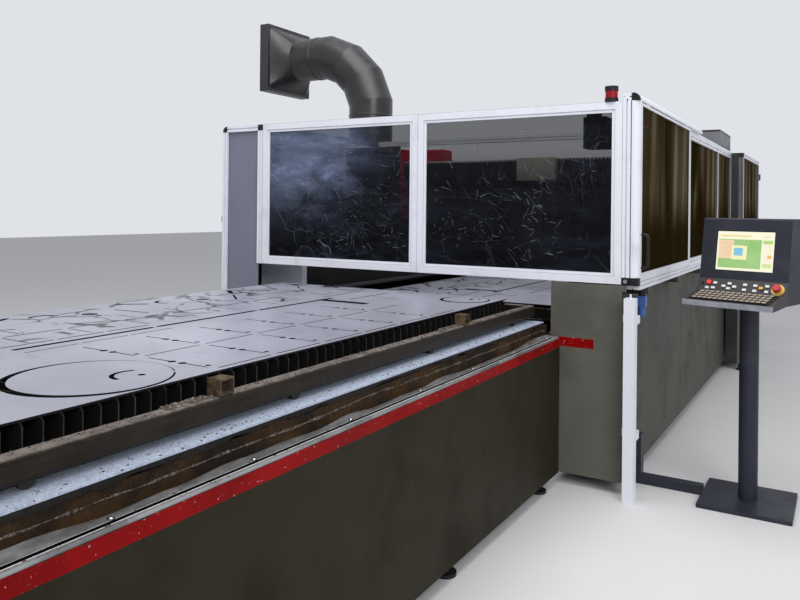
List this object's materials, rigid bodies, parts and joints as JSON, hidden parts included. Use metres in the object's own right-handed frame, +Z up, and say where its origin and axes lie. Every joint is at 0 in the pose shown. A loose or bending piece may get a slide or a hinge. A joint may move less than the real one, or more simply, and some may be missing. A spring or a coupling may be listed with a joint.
{
  "type": "laser cutting machine",
  "caption": "Gantry laser cutting machine for sheet steel, with a pallet changer, glazed enclosure, exhaust duct and operator console.",
  "frame": {"origin": "middle of the machine's footprint, on the floor", "axes": "+Y from the load station into the machine, +X towards the operator side, +Z up"},
  "size_m": [4.471, 8.41, 3.13],
  "materials": {
    "white_frame": "white anodised",
    "steel_paint_grey": "satin",
    "panel_grey": "satin",
    "base_grey": "satin",
    "station_paint": "worn",
    "bare_aluminium": "mill finish",
    "galvanised": "spangled",
    "tray_rust": "rusty",
    "pallet_steel": "oiled",
    "slat_steel": "burnt",
    "sheet_steel": "matt",
    "roller_steel": "turned",
    "foot_rubber": "matt",
    "rail_steel": "ground",
    "tinted_glass": "scratched",
    "bronze_glass": "scratched",
    "black_plastic": "matt",
    "zinc_bolts": "zinc",
    "gantry_paint": "satin",
    "red_paint": "satin",
    "bellows_fabric": "coated",
    "beige_paint": "satin",
    "copper": "turned",
    "duct_black": "semi-gloss",
    "lens_red": "clear red",
    "console_paint": "textured",
    "screen_glass": "lit",
    "key_plastic": "matt",
    "button_red": "gloss",
    "button_white": "gloss",
    "button_yellow": "gloss",
    "bowl_blue": "clear"
  },
  "bodies": {
    "machine": {"station_frame": "steel_paint_grey", "station_skirts": "station_paint", "station_top_profiles": "bare_aluminium", "dross_tray": "tray_rust", "pallet_tracks": "galvanised", "levelling_feet": "foot_rubber", "machine_base": "base_grey", "base_covers": "base_grey", "gantry_rails": "rail_steel", "front_window_frames": "white_frame", "front_windows": "tinted_glass", "front_posts": "white_frame", "top_rails": "white_frame", "corner_caps": "black_plastic", "bracket_bolts": "zinc_bolts", "right_wall_frame": "white_frame", "side_panes": "bronze_glass", "rear_frame": "white_frame", "sheet_panels": "panel_grey", "laser_source": "beige_paint", "laser_stand": "steel_paint_grey", "exhaust_plenum": "duct_black", "exhaust_duct": "duct_black", "exhaust_wall_box": "duct_black", "beacon_body": "black_plastic", "beacon_lens": "lens_red", "junction_box": "panel_grey", "work_light": "black_plastic", "sensor_column": "white_frame", "regulator_body": "bowl_blue", "console_pedestal": "console_paint"},
    "upper_pallet": {"upper_pallet_frame": "pallet_steel", "upper_pallet_rollers": "roller_steel", "upper_pallet_slats": "slat_steel", "upper_cut_sheet": "sheet_steel"},
    "lower_pallet": {"lower_pallet_frame": "pallet_steel", "lower_pallet_rollers": "roller_steel", "lower_pallet_slats": "slat_steel", "lower_cut_sheet": "sheet_steel"},
    "gantry_bridge": {"bridge": "gantry_paint", "bridge_drive_housing": "red_paint", "bellows_left": "bellows_fabric", "bellows_right": "bellows_fabric"},
    "head_carriage": {"carriage": "gantry_paint", "carriage_cover": "beige_paint"},
    "cutting_slide": {"head_slide": "gantry_paint", "cutting_head": "rail_steel", "nozzle": "copper"},
    "side_door": {"side_door_frame": "white_frame", "side_door_pane": "bronze_glass"},
    "left_service_door": {"service_door_left": "panel_grey"},
    "right_service_door": {"service_door_right": "panel_grey"},
    "console_head": {"console_housing": "console_paint", "console_screen": "screen_glass", "console_keyboard": "key_plastic", "panel_buttons": "button_white"},
    "start_push": {"start_button": "button_red"},
    "reset_push": {"reset_button": "button_yellow"},
    "stop_push": {"stop_button": "button_red"},
    "pressure_knob": {"regulator_knob": "black_plastic"}
  },
  "joints": [
    {"name": "upper_pallet_travel", "type": "slide", "parent": "machine", "child": "upper_pallet", "axis": [0, 1, 0], "range_m": [0, 4.08]},
    {"name": "lower_pallet_travel", "type": "slide", "parent": "machine", "child": "lower_pallet", "axis": [0, -1, 0], "range_m": [0, 4.08]},
    {"name": "bridge_travel", "type": "slide", "parent": "machine", "child": "gantry_bridge", "axis": [0, 1, 0], "range_m": [-1.22, 1.95]},
    {"name": "carriage_travel", "type": "slide", "parent": "gantry_bridge", "child": "head_carriage", "axis": [1, 0, 0], "range_m": [-0.94, 0.525], "deforming": ["bellows_left", "bellows_right"]},
    {"name": "head_travel", "type": "slide", "parent": "head_carriage", "child": "cutting_slide", "axis": [0, 0, 1], "range_m": [-0.068, 0.19]},
    {"name": "side_door_travel", "type": "slide", "parent": "machine", "child": "side_door", "axis": [0, 1, 0], "range_m": [0, 1.35]},
    {"name": "left_service_door_hinge", "type": "hinge", "parent": "machine", "child": "left_service_door", "pos_m": [-1.41354, 4.19, 1.03], "axis": [0, 0, 1], "range_deg": [0, 100]},
    {"name": "right_service_door_hinge", "type": "hinge", "parent": "machine", "child": "right_service_door", "pos_m": [1.59846, 4.19, 1.03], "axis": [0, 0, -1], "range_deg": [0, 100]},
    {"name": "console_swivel", "type": "hinge", "parent": "machine", "child": "console_head", "pos_m": [2.00246, -0.604, 1], "axis": [0, 0, 1], "range_deg": [-90, 90]},
    {"name": "start_button_press", "type": "slide", "parent": "console_head", "child": "start_push", "axis": [0.2349, 0.7982, -0.5547], "range_m": [0, 0.003], "stiffness_N_per_m": 600, "springref_m": -0.002},
    {"name": "reset_button_press", "type": "slide", "parent": "console_head", "child": "reset_push", "axis": [0.2349, 0.7982, -0.5547], "range_m": [0, 0.003], "stiffness_N_per_m": 600, "springref_m": -0.002},
    {"name": "stop_button_press", "type": "slide", "parent": "console_head", "child": "stop_push", "axis": [0.2349, 0.7982, -0.5547], "range_m": [0, 0.004], "stiffness_N_per_m": 1500, "springref_m": -0.002},
    {"name": "pressure_knob_turn", "type": "hinge", "parent": "machine", "child": "pressure_knob", "pos_m": [1.49246, -0.667, 1], "axis": [0, 0, 1], "range_deg": [-150, 150]}
  ]
}
